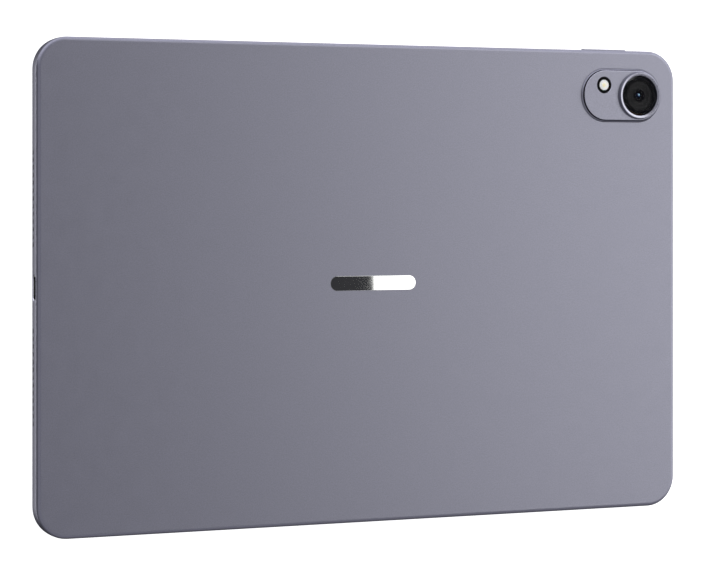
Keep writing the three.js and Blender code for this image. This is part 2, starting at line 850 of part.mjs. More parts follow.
function batteryCell() {
  const bevel = { width: 0.5, height: 0.5 };
  const outline = roundedRectangle(batterySpace / 2, batteryTop - batteryBottom, 2);
  return prismY(outline, insideFront, floorFace - airGap, slotFacets, bevel);
}

const protectionBoardZ = batteryTop + batteryGap + protectionBoardWidth / 2;
const batteryMiddleX = mainboardInnerEdge + batteryGap + batterySpace / 2 + batteryGap / 2;

function protectionBoard() {
  const halfLength = protectionBoardLength / 2;
  const halfWidth = protectionBoardWidth / 2;
  return box([-halfLength, halfLength], [connectorFront, boardFront], [-halfWidth, halfWidth]);
}

// From the protection board along the top of the cells and down to its connector.
function batteryFlex() {
  const left = batteryConnectorX - flexWidth / 2;
  const right = batteryMiddleX - protectionBoardLength / 2 + 8;
  const top = protectionBoardZ + 2;
  const bottom = protectionBoardZ - 2;
  const outline = polygon([
    [left, batteryConnectorZ - 2], [left + flexWidth, batteryConnectorZ - 2], [left + flexWidth, bottom],
    [right, bottom], [right, top], [left, top],
  ]);
  return prismY(outline, flexFront, flexFront + flexThickness);
}

// From the mainboard, under the cells and up to the charging port's board.
function boardLinkFlex() {
  const left = linkConnectorX - flexWidth / 2;
  const right = portFlexX + 1.5;
  const bottom = batteryBottom - batteryGap - flexWidth;
  const outline = polygon([
    [left, linkConnectorZ + 2], [left, bottom], [right, bottom], [right, 3], [right - 3, 3],
    [right - flexWidth, -3], [right - flexWidth, bottom + flexWidth], [left + flexWidth, bottom + flexWidth],
    [left + flexWidth, linkConnectorZ + 2],
  ]);
  return prismY(outline, flexFront, flexFront + flexThickness);
}

// A countersunk-free pan screw that points at the back, its head's underside at Y = 0.
function screw() {
  const shank = disc(screwShankRadius, -glueLine, boardThickness + screwReach, screwFacets);
  return join(disc(screwHeadRadius, -screwHeadHeight, 0, screwFacets), shank);
}

// ---------------------------------------------------------------------------------------------
// Small parts along the top edge
// ---------------------------------------------------------------------------------------------

function frontCamera() {
  const half = (innerTop - panelTop) / 2 - frontCameraGap;
  const barrel = disc(frontCameraRadius, panelFront, insideFront + 0.5, 16);
  return join(barrel, box([-half, half], [insideFront, insideFront + 1.4], [-half, half]));
}

function lightSensor() {
  const half = lightSensorLength / 2;
  return box([-half, half], [panelFront, panelFront + 1], [-half, half]);
}

function antenna() {
  const bevel = { width: 0.3, height: 0.3 };
  const outline = roundedRectangle(antennaLength, antennaHeight, 0.6);
  return prismY(outline, ledgeFace + slipGap, ledgeFace + slipGap + 2, slotFacets, bevel);
}

function microphone() {
  const top = innerTop - glueLine;
  return box([-1.75, 1.75], [ledgeFace + slipGap, ledgeFace + slipGap + 2.4], [top - 1, top]);
}

// ---------------------------------------------------------------------------------------------
// Assembly
// ---------------------------------------------------------------------------------------------

const tablet = new THREE.Group();
tablet.rotation.x = Math.PI / 2;
tablet.position.z = -screenFace;

tablet.add(
  piece("rear_housing", rearHousing(), "greyAluminium"),
  piece("emblem_plate", emblemPlate(), "polishedMetal"),
);

const screen = new THREE.Group();
screen.add(
  piece("cover_glass", coverGlass(), "blackGlass"),
  piece("display_gasket", displayGasket(), "blackPlastic"),
  piece("lcd_panel", screenLayer(0, panelFront, panelBack), "panel"),
  piece("backlight_unit", screenLayer(trayLip + glueLine, backlightFront, backlightBack), "whiteFilm"),
  piece("display_tray", displayTray(), "steel"),
  piece("display_flex", displayFlex(displayFlexLeft, displayFlexLeft + flexWidth), "amberFlex"),
  piece("front_camera", frontCamera(), "blackPlastic", 0, 0, edgeStripMiddle),
  piece("light_sensor", lightSensor(), "chip", lightSensorOffset, 0, edgeStripMiddle),
);

const rearCamera = new THREE.Group();
rearCamera.position.set(cameraX, 0, cameraZ);
rearCamera.add(
  piece("camera_island", cameraIsland(), "greyAluminium"),
  piece("camera_trim_ring", cameraTrimRing(), "greyAluminium"),
  piece("camera_cover_glass", disc(ringInner - glueLine, cameraGlassBottom, cameraGlassTop, 48), "blackGlass"),
  piece("camera_light_mask", cameraLightMask(), "blackPlastic"),
  piece("camera_lens_barrel", cameraLensBarrel(), "blackPlastic"),
  piece("camera_front_lens", cameraFrontLens(), "lensGlass"),
  piece("camera_sensor_base", sensorBase(), "darkMetal"),
  piece("rear_camera_flex", rearCameraFlex(), "amberFlex"),
  piece("flash_bezel", flashBezel(), "blackPlastic", flashAlong, 0, flashUp),
  piece("flash_lens", flashLens(), "diffuser", flashAlong, 0, flashUp),
  piece("flash_led_board", flashLedBoard(), "greenBoard", flashAlong, 0, flashUp),
);

const volumeKey = new THREE.Group();
volumeKey.position.set(rockerX, keyMiddle, 0);
volumeKey.add(
  piece("volume_rocker", volumeRocker(), "greyAluminium"),
  piece("volume_key_bracket", volumeKeyBracket(), "steel"),
  piece("volume_key_flex", volumeKeyFlex(), "amberFlex"),
  piece("volume_up_switch", dome().rotateX(Math.PI / 2), "steel", -rockerReach, 0, switchFoot),
  piece("volume_down_switch", dome().rotateX(Math.PI / 2), "steel", rockerReach, 0, switchFoot),
);

const powerKey = new THREE.Group();
powerKey.position.set(0, keyMiddle, powerKeyZ);
const powerStripReach = powerKeyLength / 2;
powerKey.add(
  piece("power_button", powerButton(), "greyAluminium"),
  piece("power_key_bracket", box(
    [-powerBracketFoot - keyBracketSheet, -powerBracketFoot], [-1, 1], [-powerStripReach, powerStripReach],
  ), "steel"),
  piece("power_key_flex", box(
    [-powerFlexFoot - flexThickness, -powerFlexFoot], [-1, 1], [-powerStripReach + 1, powerStripReach - 1],
  ), "amberFlex"),
  piece("power_switch", dome().rotateZ(Math.PI / 2), "steel", -powerSwitchFoot),
);

const port = new THREE.Group();
port.position.y = portMiddle;
port.add(
  piece("usb_c_shell", portShell(), "steel"),
  piece("usb_c_tongue", portTongue(), "blackPlastic"),
);

const speakers = new THREE.Group();
for (const [endName, side] of [["port_side", 1], ["camera_side", -1]]) {
  for (const [rowName, row] of [["upper", 1], ["lower", -1]]) {
    const z = row * speakerFromMiddle;
    speakers.add(
      piece(`speaker_${endName}_${rowName}`, speakerModule(side), "blackPlastic", 0, 0, z),
      piece(`speaker_mesh_${endName}_${rowName}`, speakerMesh(side), "meshCloth", 0, 0, z),
    );
  }
}

const electronics = new THREE.Group();
const shieldX = mainboardEdge + mainboardWidth / 2;
const cellOffset = (batterySpace / 2 + batteryGap) / 2;
const cellZ = (batteryTop + batteryBottom) / 2;
const antennaX1 = (microphoneOffset + endFace - cornerRadius) / 2;
const antennaX2 = (rockerX + rockerHalfFlange) / 2;
electronics.add(
  piece("mainboard", mainboard(), "greenBoard"),
  piece("processor_shield", shieldCan(22, 30), "steel", shieldX, 0, 14),
  piece("processor_chip", box(
    [-processorSide / 2, processorSide / 2], [boardFront - glueLine - processorHeight, boardFront - glueLine],
    [-processorSide / 2, processorSide / 2],
  ), "chip", shieldX, 0, 14),
  piece("radio_shield", shieldCan(22, 20), "steel", shieldX, 0, -18),
  piece("usb_board", portBoard(), "greenBoard"),
  piece("board_link_flex", boardLinkFlex(), "amberFlex"),
  piece("battery_cell_left", batteryCell(), "pouch", batteryMiddleX - cellOffset, 0, cellZ),
  piece("battery_cell_right", batteryCell(), "pouch", batteryMiddleX + cellOffset, 0, cellZ),
  piece("battery_protection_board", protectionBoard(), "greenBoard", batteryMiddleX, 0, protectionBoardZ),
  piece("battery_flex", batteryFlex(), "amberFlex"),
  piece("graphite_sheet", box(
    [batteryMiddleX - batterySpace / 2, batteryMiddleX + batterySpace / 2],
    [trayBack + glueLine / 2, trayBack + glueLine / 2 + graphiteSheet], [batteryBottom, batteryTop],
  ), "graphite"),
  piece("wifi_antenna_1", antenna(), "copper", antennaX1, 0, edgeStripMiddle),
  piece("wifi_antenna_2", antenna(), "copper", antennaX2, 0, edgeStripMiddle),
  piece("microphone", microphone(), "chip", microphoneOffset),
);
for (const [name, [x, z]] of Object.entries(screwPlaces)) {
  electronics.add(piece(name, screw(), "steel", x, boardFront - glueLine, z));
}

tablet.add(screen, rearCamera, volumeKey, powerKey, port, speakers, electronics);

export default tablet;
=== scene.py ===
"""The looks of a thin metal tablet that lies on its screen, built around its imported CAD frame.

Shapes are drawn in millimetres in the frame's own axes: X along the long side, Y along the short side with
the top edge towards -Y, Z up, with the screen's glass on Z = 0 and the metal back facing up.
"""

import json
import math

import bpy
import bmesh
from mathutils import Matrix, Vector


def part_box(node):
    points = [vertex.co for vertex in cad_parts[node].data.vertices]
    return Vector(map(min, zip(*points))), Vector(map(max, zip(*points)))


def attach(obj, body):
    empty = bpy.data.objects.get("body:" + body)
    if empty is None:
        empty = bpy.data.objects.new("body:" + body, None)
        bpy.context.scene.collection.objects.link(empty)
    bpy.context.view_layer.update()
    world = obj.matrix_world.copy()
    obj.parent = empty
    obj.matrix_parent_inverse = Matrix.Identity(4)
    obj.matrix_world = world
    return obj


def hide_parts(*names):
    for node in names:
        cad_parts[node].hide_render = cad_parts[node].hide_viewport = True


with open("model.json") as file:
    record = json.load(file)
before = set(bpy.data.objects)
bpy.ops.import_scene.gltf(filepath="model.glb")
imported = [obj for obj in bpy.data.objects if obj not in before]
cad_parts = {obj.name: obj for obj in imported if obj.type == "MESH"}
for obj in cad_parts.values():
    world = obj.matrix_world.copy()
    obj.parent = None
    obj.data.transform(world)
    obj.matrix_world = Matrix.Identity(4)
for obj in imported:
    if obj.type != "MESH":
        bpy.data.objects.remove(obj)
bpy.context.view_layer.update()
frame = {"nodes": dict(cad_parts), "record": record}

MM = 0.001
TABLET = "tablet"
VOLUME_KEY = "volume_key"
POWER_KEY = "power_key"

# ------------------------------------------------------------------------------------------------
# Sizes that the shapes are drawn from: places come from the CAD boxes, the rest are its own numbers
# ------------------------------------------------------------------------------------------------


def node_box(node):
    low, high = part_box(node)
    return low / MM, high / MM


def middle(node):
    low, high = node_box(node)
    return (low + high) / 2


def in_metres(point):
    return tuple(v * MM for v in point)


HOUSING_LOW, HOUSING_HIGH = node_box("rear_housing")
LENGTH = HOUSING_HIGH.x - HOUSING_LOW.x
WIDTH = HOUSING_HIGH.y - HOUSING_LOW.y
BACK = HOUSING_HIGH.z
CORNER = 11.5
CORNER_STEPS = 20
BACK_ROUND = 1.5
RIM_ROUND = 0.45
# The side leans in by CROWN from the height CROWN_TOP down to the rim.
CROWN = 0.16
CROWN_TOP = 3.6
RIM = 0.9
SIDE_WALL = 1.6
LEDGE = 1.0
FLOOR = 5.4
INNER_ROUND = 2.0
# Every straight cutter in a side starts inside the body and ends outside it.
CUT_FROM, CUT_TO = -3, 2

GRILLE_COUNT = 13
GRILLE_PITCH = 2.72
GRILLE_FROM_MIDDLE = 31.55
GRILLE_Z = 1.55
SLOT_LENGTH, SLOT_HEIGHT = 1.8, 1.1
MICROPHONE_HOLE = 0.8

LENS = middle("camera_trim_ring")
RING_RADIUS = (node_box("camera_trim_ring")[1].x - node_box("camera_trim_ring")[0].x) / 2
RING_TOP = node_box("camera_trim_ring")[1].z
ISLAND_TOP = node_box("camera_island")[1].z
ISLAND_RADIUS = 10.3
ISLAND_SPAN = 14.7
ISLAND_X = LENS.x + ISLAND_SPAN / 2
RING_BORE = 7.8
RING_FOOT = 5.35
# The rings of tone on the turned faces, whose lighter rings are painted sheen, are told apart by their
# distance from this height on the lens axis.
SHEEN_RING_Z = 7.3
SHEEN_RING_REACH = 6.0
# The lens's painted highlight, a pale spot, stands a little off its axis.
LENS_GLINT = (LENS.x - 0.2, LENS.y - 0.45, 7.2)
# The bevel on the top edges of the camera plate
EDGE_BREAK = 0.14
FLASH = middle("flash_lens")
FLASH_RADIUS = 2.1

EMBLEM_LOW, EMBLEM_HIGH = node_box("emblem_plate")

KEY = middle("volume_rocker")
POWER = middle("power_button")
KEY_THICKNESS = 1.8
KEY_SLOT_HEIGHT = 2.0
KEY_ROUND = 0.3
ROCKER_LENGTH, ROCKER_SLOT_LENGTH = 19.6, 20.0
POWER_LENGTH, POWER_SLOT_LENGTH = 12.0, 12.2
# Distances of each key's flange from the middle of the tablet
ROCKER_FLANGE = (86.074, 86.774)
POWER_FLANGE = (128.15, 128.85)
# Each key presses its switches with square nubs, which end inside its flange.
NUB_HALF = 0.8
NUBS_FROM_MIDDLE = 6
ROCKER_NUB_END, POWER_NUB_END = 86.2, 128.4

PORT = middle("usb_c_shell")
PORT_LOW, PORT_HIGH = node_box("usb_c_shell")
PORT_WALL = 0.3
MICROPHONE_X = middle("microphone").x
# The picture area behind the screen's glass
PICTURE_LENGTH, PICTURE_WIDTH = 243.0, 162.0

# ------------------------------------------------------------------------------------------------
# Mesh helpers
# ------------------------------------------------------------------------------------------------


def arc(centre_x, centre_y, radius, start, end, steps):
    for i in range(steps + 1):
        turn = math.radians(start + (end - start) * i / steps)
        yield centre_x + radius * math.cos(turn), centre_y + radius * math.sin(turn)


def rounded_rectangle(length, width, radius):
    """Corner points anticlockwise, the same number for every size."""
    half_x, half_y = length / 2 - radius, width / 2 - radius
    corners = [(half_x, half_y, 0), (-half_x, half_y, 90), (-half_x, -half_y, 180), (half_x, -half_y, 270)]
    return [p for x, y, start in corners for p in arc(x, y, radius, start, start + 90, CORNER_STEPS)]


def pill(length, height, steps=24):
    radius = height / 2
    half = length / 2 - radius
    return list(arc(half, 0, radius, -90, 90, steps)) + list(arc(-half, 0, radius, 90, 270, steps))


def body_loop(inset):
    return rounded_rectangle(LENGTH - 2 * inset, WIDTH - 2 * inset, CORNER - inset)


def new_object(name, mesh):
    piece = bpy.data.objects.new(name, mesh)
    bpy.context.scene.collection.objects.link(piece)
    return piece


def finish_mesh(name, bm, place):
    bmesh.ops.remove_doubles(bm, verts=bm.verts, dist=1e-5)
    bmesh.ops.recalc_face_normals(bm, faces=bm.faces)
    bmesh.ops.transform(bm, matrix=Matrix.Scale(MM, 4) @ place, verts=bm.verts)
    bmesh.ops.recalc_face_normals(bm, faces=bm.faces)
    mesh = bpy.data.meshes.new(name)
    bm.to_mesh(mesh)
    bm.free()
    return new_object(name, mesh)


def loft(name, sections, place=Matrix.Identity(4)):
    """A closed skin through loops of equally many points. sections is [(points, height), ...]."""
    bm = bmesh.new()
    rings = [[bm.verts.new((x, y, z)) for x, y in points] for points, z in sections]
    count = len(rings[0])
    for low, high in zip(rings, rings[1:]):
        for i in range(count):
            j = (i + 1) % count
            bm.faces.new((low[i], low[j], high[j], high[i]))
    bm.faces.new(rings[0])
    bm.faces.new(rings[-1])
    return finish_mesh(name, bm, place)


def straight(name, outline, low, high, place):
    """A straight bar with the outline as its section."""
    return loft(name, [(outline, low), (outline, high)], place)


def turned(name, profile, place=Matrix.Identity(4), steps=96):
    """A solid of revolution about Z. profile is [(radius, height), ...], from the axis back to the axis,
    or a closed ring of points that never touches the axis."""
    bm = bmesh.new()
    rings = []
    for radius, z in profile:
        if radius < 1e-6:
            rings.append([bm.verts.new((0, 0, z))])
        else:
            turns = [2 * math.pi * i / steps for i in range(steps)]
            rings.append([bm.verts.new((radius * math.cos(t), radius * math.sin(t), z)) for t in turns])
    pairs = list(zip(rings, rings[1:]))
    if len(rings[0]) > 1:
        pairs.append((rings[-1], rings[0]))
    for low, high in pairs:
        for i in range(steps):
            j = (i + 1) % steps
            if len(low) == 1:
                bm.faces.new((low[0], high[j], high[i]))
            elif len(high) == 1:
                bm.faces.new((low[i], low[j], high[0]))
            else:
                bm.faces.new((low[i], low[j], high[j], high[i]))
    return finish_mesh(name, bm, place)


def fillet(centre_inset, centre_z, radius_inset, radius_z, start, end, steps):
    """(inset, z) points on a quarter ellipse, for the rounded edge of a loft."""
    out = []
    for i in range(steps + 1):
        turn = math.radians(start + (end - start) * i / steps)
        out.append((centre_inset + radius_inset * math.cos(turn), centre_z + radius_z * math.sin(turn)))
    return out


def boolean(target, tools, operation="DIFFERENCE"):
    """Cuts or joins tools into target, and bakes the result into its mesh."""
    for tool in tools:
        step = target.modifiers.new("cut", "BOOLEAN")
        step.operation = operation
        step.solver = "EXACT"
        step.object = tool
    bpy.context.view_layer.update()
    depsgraph = bpy.context.evaluated_depsgraph_get()
    mesh = bpy.data.meshes.new_from_object(target.evaluated_get(depsgraph))
    target.modifiers.clear()
    target.data = mesh
    for tool in tools:
        bpy.data.objects.remove(tool)
    return target


def joined(name, tools):
    """Separate solids in one object, to be used as one cutter."""
    bm = bmesh.new()
    for tool in tools:
        bm.from_mesh(tool.data)
        bpy.data.objects.remove(tool)
    mesh = bpy.data.meshes.new(name)
    bm.to_mesh(mesh)
    bm.free()
    return new_object(name, mesh)


def smooth(piece, angle=32):
    piece.data.shade_smooth()
    piece.data.set_sharp_from_angle(angle=math.radians(angle))
    weighted = piece.modifiers.new("weighted", "WEIGHTED_NORMAL")
    weighted.keep_sharp = True
    weighted.weight = 80
    return piece


def place_on(x, y, z, rotation=None):
    move = Matrix.Translation((x, y, z))
    return move @ rotation if rotation else move


# Turns a shape drawn flat in XY so that its own +Z points out of the top edge (-Y), the +X end or the -X end
OUT_OF_TOP = Matrix(((1, 0, 0, 0), (0, 0, -1, 0), (0, 1, 0, 0), (0, 0, 0, 1)))
OUT_OF_PORT_END = Matrix(((0, 0, 1, 0), (1, 0, 0, 0), (0, 1, 0, 0), (0, 0, 0, 1)))
OUT_OF_CAMERA_END = Matrix(((0, 0, -1, 0), (-1, 0, 0, 0), (0, 1, 0, 0), (0, 0, 0, 1)))

# ------------------------------------------------------------------------------------------------
# Materials
# ------------------------------------------------------------------------------------------------


METAL = (0.243, 0.243, 0.293)
ROUGH_VARY = 0.06


def principled(name):
    material = bpy.data.materials.new(name)
    material.use_nodes = True
    tree = material.node_tree
    shader = tree.nodes["Principled BSDF"]
    return material, tree, shader


def link(tree, source, target):
    tree.links.new(source, target)


def object_place(tree):
    return tree.nodes.new("ShaderNodeTexCoord").outputs["Object"]


def share_of_reach(tree, centre, reach):
    """0 at centre and 1 at reach metres from it."""
    apart = tree.nodes.new("ShaderNodeVectorMath")
    apart.operation = "DISTANCE"
    apart.inputs[1].default_value = centre
    link(tree, object_place(tree), apart.inputs[0])
    share = tree.nodes.new("ShaderNodeMapRange")
    share.inputs["From Max"].default_value = reach
    link(tree, apart.outputs["Value"], share.inputs["Value"])
    return share.outputs["Result"]


def noise(tree, scale, detail=3.0, roughness=0.55, stretch=None):
    where = object_place(tree)
    if stretch:
        mapping = tree.nodes.new("ShaderNodeMapping")
        mapping.inputs["Scale"].default_value = stretch
        link(tree, where, mapping.inputs["Vector"])
        where = mapping.outputs["Vector"]
    texture = tree.nodes.new("ShaderNodeTexNoise")
    texture.inputs["Scale"].default_value = scale
    texture.inputs["Detail"].default_value = detail
    texture.inputs["Roughness"].default_value = roughness
    link(tree, where, texture.inputs["Vector"])
    return texture.outputs["Fac"]


def ramp(tree, factor, stops):
    node = tree.nodes.new("ShaderNodeValToRGB")
    elements = node.color_ramp.elements
    elements[0].position, elements[0].color = stops[0][0], (*stops[0][1], 1)
    elements[1].position, elements[1].color = stops[-1][0], (*stops[-1][1], 1)
    for position, colour in stops[1:-1]:
        elements.new(position).color = (*colour, 1)
    link(tree, factor, node.inputs["Fac"])
    return node.outputs["Color"]


def spread(tree, factor, low, high):
    node = tree.nodes.new("ShaderNodeMapRange")
    node.inputs["To Min"].default_value = low
    node.inputs["To Max"].default_value = high
    link(tree, factor, node.inputs["Value"])
    return node.outputs["Result"]


def bump(tree, height, distance):
    node = tree.nodes.new("ShaderNodeBump")
    node.inputs["Distance"].default_value = distance
    node.inputs["Strength"].default_value = 1.0
    link(tree, height, node.inputs["Height"])
    return node.outputs["Normal"]


def shade(colour, change):
    return tuple(max(0.0, min(1.0, c * change)) for c in colour)


def grained(name, colour, rough, metallic=0.0, scale=600.0, vary=0.08, grain=2e-5, specular=0.5, coat=0.0,
            stretch=None):
    """A surface with fine grain: colour, roughness and height all follow noise."""
    material, tree, shader = principled(name)
    shader.inputs["Metallic"].default_value = metallic
    shader.inputs["Specular IOR Level"].default_value = specular
    shader.inputs["Coat Weight"].default_value = coat
    fine = noise(tree, scale, stretch=stretch)
    broad = noise(tree, scale / 12, detail=2.0, stretch=stretch)
    link(tree, ramp(tree, fine, [(0.3, shade(colour, 1 - vary)), (0.7, shade(colour, 1 + vary))]),
         shader.inputs["Base Color"])
    link(tree, spread(tree, broad, rough - ROUGH_VARY, rough + ROUGH_VARY), shader.inputs["Roughness"])
    link(tree, bump(tree, fine, grain), shader.inputs["Normal"])
    return material


def anodised_metal():
    """Bead-blasted and anodised aluminium: a fine sparkle over a very even tone."""
    material, tree, shader = principled("anodised_metal")
    shader.inputs["Metallic"].default_value = 1.0
    beads = noise(tree, 2600, detail=2.0, roughness=0.6)
    cloud = noise(tree, 160, detail=3.0)
    link(tree, ramp(tree, beads, [(0.25, shade(METAL, 0.88)), (0.75, shade(METAL, 1.12))]),
         shader.inputs["Base Color"])
    link(tree, spread(tree, cloud, 0.36, 0.42), shader.inputs["Roughness"])
    link(tree, bump(tree, beads, 1.2e-5), shader.inputs["Normal"])
    return material


def polished_metal():
    material, tree, shader = principled("polished_metal")
    shader.inputs["Metallic"].default_value = 1.0
    haze = noise(tree, 900, detail=2.0)
    link(tree, ramp(tree, haze, [(0.3, (0.80, 0.81, 0.81)), (0.7, (0.84, 0.85, 0.85))]),
         shader.inputs["Base Color"])
    link(tree, spread(tree, haze, 0.015, 0.03), shader.inputs["Roughness"])
    return material


def cut_metal(name, tone, rough):
    """The brighter bare rims that a diamond cutter leaves round the camera plate and on top of its ring."""
    material, tree, shader = principled(name)
    shader.inputs["Metallic"].default_value = 1.0
    turning = noise(tree, 1800, detail=2.0)
    colour = (tone, tone, tone * 1.15)
    link(tree, ramp(tree, turning, [(0.3, shade(colour, 0.93)), (0.7, shade(colour, 1.07))]),
         shader.inputs["Base Color"])
    link(tree, spread(tree, turning, rough - 0.04, rough + 0.04), shader.inputs["Roughness"])
    return material


def turned_black_painted_sheen():
    """Black-anodised metal with the fine circular grooves of a lathe, in rings of different tone; the lighter
    rings, about 3 to 5.4 mm from the lens axis, are painted sheen.
    """
    material, tree, shader = principled("turned_black_painted_sheen")
    shader.inputs["Metallic"].default_value = 1.0
    shader.inputs["Anisotropic"].default_value = 0.97
    shader.inputs["Anisotropic Rotation"].default_value = 0.25
    tangent = tree.nodes.new("ShaderNodeTangent")
    tangent.direction_type = "RADIAL"
    tangent.axis = "Z"
    link(tree, tangent.outputs["Tangent"], shader.inputs["Tangent"])
    share = share_of_reach(tree, in_metres((LENS.x, LENS.y, SHEEN_RING_Z)), SHEEN_RING_REACH * MM)
    # Painted sheen: the lighter rings stand in for the lit grey of the turned disc round the lens.
    rings = [(0.0, 0.01), (0.40, 0.015), (0.50, 0.045), (0.58, 0.06), (0.66, 0.03), (0.76, 0.055),
             (0.90, 0.03), (1.0, 0.01)]
    link(tree, ramp(tree, share, [(at, (v, v, v)) for at, v in rings]), shader.inputs["Base Color"])
    grain = noise(tree, 1500, detail=2.0)
    link(tree, spread(tree, grain, 0.26, 0.32), shader.inputs["Roughness"])
    return material


def screen_glass():
    """Black glass over a switched-off picture area, which is a shade different from its printed border."""
    material, tree, shader = principled("screen_glass")
    shader.inputs["Coat Weight"].default_value = 0.6
    shader.inputs["Coat Roughness"].default_value = 0.02
    split = tree.nodes.new("ShaderNodeSeparateXYZ")
    link(tree, object_place(tree), split.inputs["Vector"])
    inside = None
    for axis, half in (("X", PICTURE_LENGTH / 2), ("Y", PICTURE_WIDTH / 2)):
        size = tree.nodes.new("ShaderNodeMath")
        size.operation = "ABSOLUTE"
        link(tree, split.outputs[axis], size.inputs[0])
        within = tree.nodes.new("ShaderNodeMath")
        within.operation = "LESS_THAN"
        within.inputs[1].default_value = half * MM
        link(tree, size.outputs[0], within.inputs[0])
        if inside is None:
            inside = within.outputs[0]
        else:
            both = tree.nodes.new("ShaderNodeMath")
            both.operation = "MULTIPLY"
            link(tree, inside, both.inputs[0])
            link(tree, within.outputs[0], both.inputs[1])
            inside = both.outputs[0]
    link(tree, ramp(tree, inside, [(0.0, (0.004, 0.004, 0.005)), (1.0, (0.010, 0.011, 0.014))]),
         shader.inputs["Base Color"])
    smear = noise(tree, 40, detail=4.0)
    link(tree, spread(tree, smear, 0.03, 0.09), shader.inputs["Roughness"])
    return material


def clear_glass(name, tint, alpha):
    """A coated window: it shows what is behind it, and only a little of the room."""
    material, tree, shader = principled(name)
    shader.inputs["Alpha"].default_value = alpha
    shader.inputs["Specular IOR Level"].default_value = 0.06
    haze = noise(tree, 300, detail=2.0)
    link(tree, ramp(tree, haze, [(0.3, shade(tint, 0.9)), (0.7, shade(tint, 1.1))]),
         shader.inputs["Base Color"])
    link(tree, spread(tree, haze, 0.02, 0.04), shader.inputs["Roughness"])
    return material


def lens_glass(glint_centre):
    """A coated front element with a painted highlight: a pale blue spot near its middle that fades to near
    black towards its rim.
    """
    material, tree, shader = principled("lens_glass")
    shader.inputs["Metallic"].default_value = 1.0
    shader.inputs["Coat Weight"].default_value = 0.3
    shader.inputs["Coat Roughness"].default_value = 0.01
    # Painted highlight: the pale spot stands in for a light glinting in the lens.
    colours = [(0.0, (0.75, 1.0, 1.0)), (0.16, (0.45, 0.80, 1.0)), (0.26, (0.03, 0.10, 0.30)),
               (0.48, (0.010, 0.022, 0.08)), (0.7, (0.004, 0.005, 0.010)), (1.0, (0.003, 0.003, 0.004))]
    link(tree, ramp(tree, share_of_reach(tree, glint_centre, 2.0 * MM), colours), shader.inputs["Base Color"])
    coating = noise(tree, 500, detail=1.0)
    link(tree, spread(tree, coating, 0.08, 0.12), shader.inputs["Roughness"])
    return material


def flash_diffuser(centre):
    """A warm spot of phosphor in the middle of a white lens."""
    material, tree, shader = principled("flash_diffuser")
    shader.inputs["Subsurface Weight"].default_value = 0.2
    shader.inputs["Subsurface Scale"].default_value = 0.0006
    shader.inputs["Coat Weight"].default_value = 0.4
    colours = [(0.0, (1.0, 0.86, 0.38)), (0.3, (1.0, 0.93, 0.62)), (0.55, (0.98, 0.97, 0.90)),
               (1.0, (0.80, 0.80, 0.80))]
    share = share_of_reach(tree, centre, FLASH_RADIUS * MM)
    link(tree, ramp(tree, share, colours), shader.inputs["Base Color"])
    grain = noise(tree, 1500, detail=2.0)
    link(tree, spread(tree, grain, 0.20, 0.34), shader.inputs["Roughness"])
    return material


def woven_cloth():
    """Fine black mesh behind the speaker slots."""
    material, tree, shader = principled("speaker_cloth")
    weave = tree.nodes.new("ShaderNodeTexWave")
    weave.wave_type = "BANDS"
    weave.bands_direction = "DIAGONAL"
    weave.inputs["Scale"].default_value = 900.0
    weave.inputs["Distortion"].default_value = 0.4
    link(tree, object_place(tree), weave.inputs["Vector"])
    link(tree, ramp(tree, weave.outputs["Fac"], [(0.2, (0.012, 0.012, 0.013)), (0.8, (0.05, 0.05, 0.052))]),
         shader.inputs["Base Color"])
    link(tree, spread(tree, weave.outputs["Fac"], 0.7, 0.95), shader.inputs["Roughness"])
    link(tree, bump(tree, weave.outputs["Fac"], 4e-5), shader.inputs["Normal"])
    return material


FINISHES = {
    "housing_aluminium": anodised_metal(),
    "polished_inlay": polished_metal(),
    "cover_glass": screen_glass(),
    "camera_glass": clear_glass("camera_glass", (0.006, 0.006, 0.008), 0.30),
    "lens_glass": lens_glass(in_metres(LENS_GLINT)),
    "flash_diffuser": flash_diffuser(in_metres(FLASH)),
    "display_panel": grained("display_panel", (0.012, 0.013, 0.016), 0.12, scale=300, grain=2e-6),
    "white_film": grained("white_film", (0.78, 0.78, 0.76), 0.42, scale=500, vary=0.03, grain=5e-6),
    "black_plastic": grained("black_plastic", (0.012, 0.012, 0.013), 0.46, scale=1800, vary=0.2, grain=1e-5),
    # Near black: the own colour of the black camera and flash parts, and also painted shade in the speaker
    # slots, round the camera plate and in the port.
    "deep_black_and_painted_shade": grained("deep_black_and_painted_shade", (0.0025, 0.0025, 0.003), 0.5, scale=1800, vary=0.3, grain=1e-5,
                          specular=0.06),
    "turned_black_painted_sheen": turned_black_painted_sheen(),
    "cut_edge": cut_metal("cut_edge", 0.54, 0.24),
    "ring_crown": cut_metal("ring_crown", 0.34, 0.28),
    "port_steel_painted_shade": grained("port_steel_painted_shade", (0.05, 0.05, 0.052), 0.35, metallic=1.0, scale=900, grain=6e-6),
    "speaker_cloth": woven_cloth(),
    "steel": grained("steel", (0.52, 0.52, 0.53), 0.30, metallic=1.0, scale=900, grain=6e-6,
                     stretch=(1.0, 12.0, 1.0)),
    "circuit_board": grained("circuit_board", (0.010, 0.085, 0.045), 0.35, scale=700, vary=0.12, coat=0.3),
    "flat_cable": grained("flat_cable", (0.36, 0.15, 0.02), 0.28, scale=500, vary=0.1, coat=0.4,
                          stretch=(6.0, 1.0, 1.0)),
    "battery_pouch": grained("battery_pouch", (0.11, 0.115, 0.13), 0.33, metallic=0.7, scale=260, vary=0.1,
                             grain=3e-5),
    "graphite": grained("graphite", (0.022, 0.022, 0.024), 0.6, scale=900, vary=0.15, grain=1.5e-5),
    "chip": grained("chip", (0.02, 0.02, 0.022), 0.55, scale=1400, vary=0.15, grain=8e-6),
    "antenna_copper": grained("antenna_copper", (0.62, 0.30, 0.12), 0.32, metallic=1.0, scale=800, grain=5e-6,
                              stretch=(10.0, 1.0, 1.0)),
}


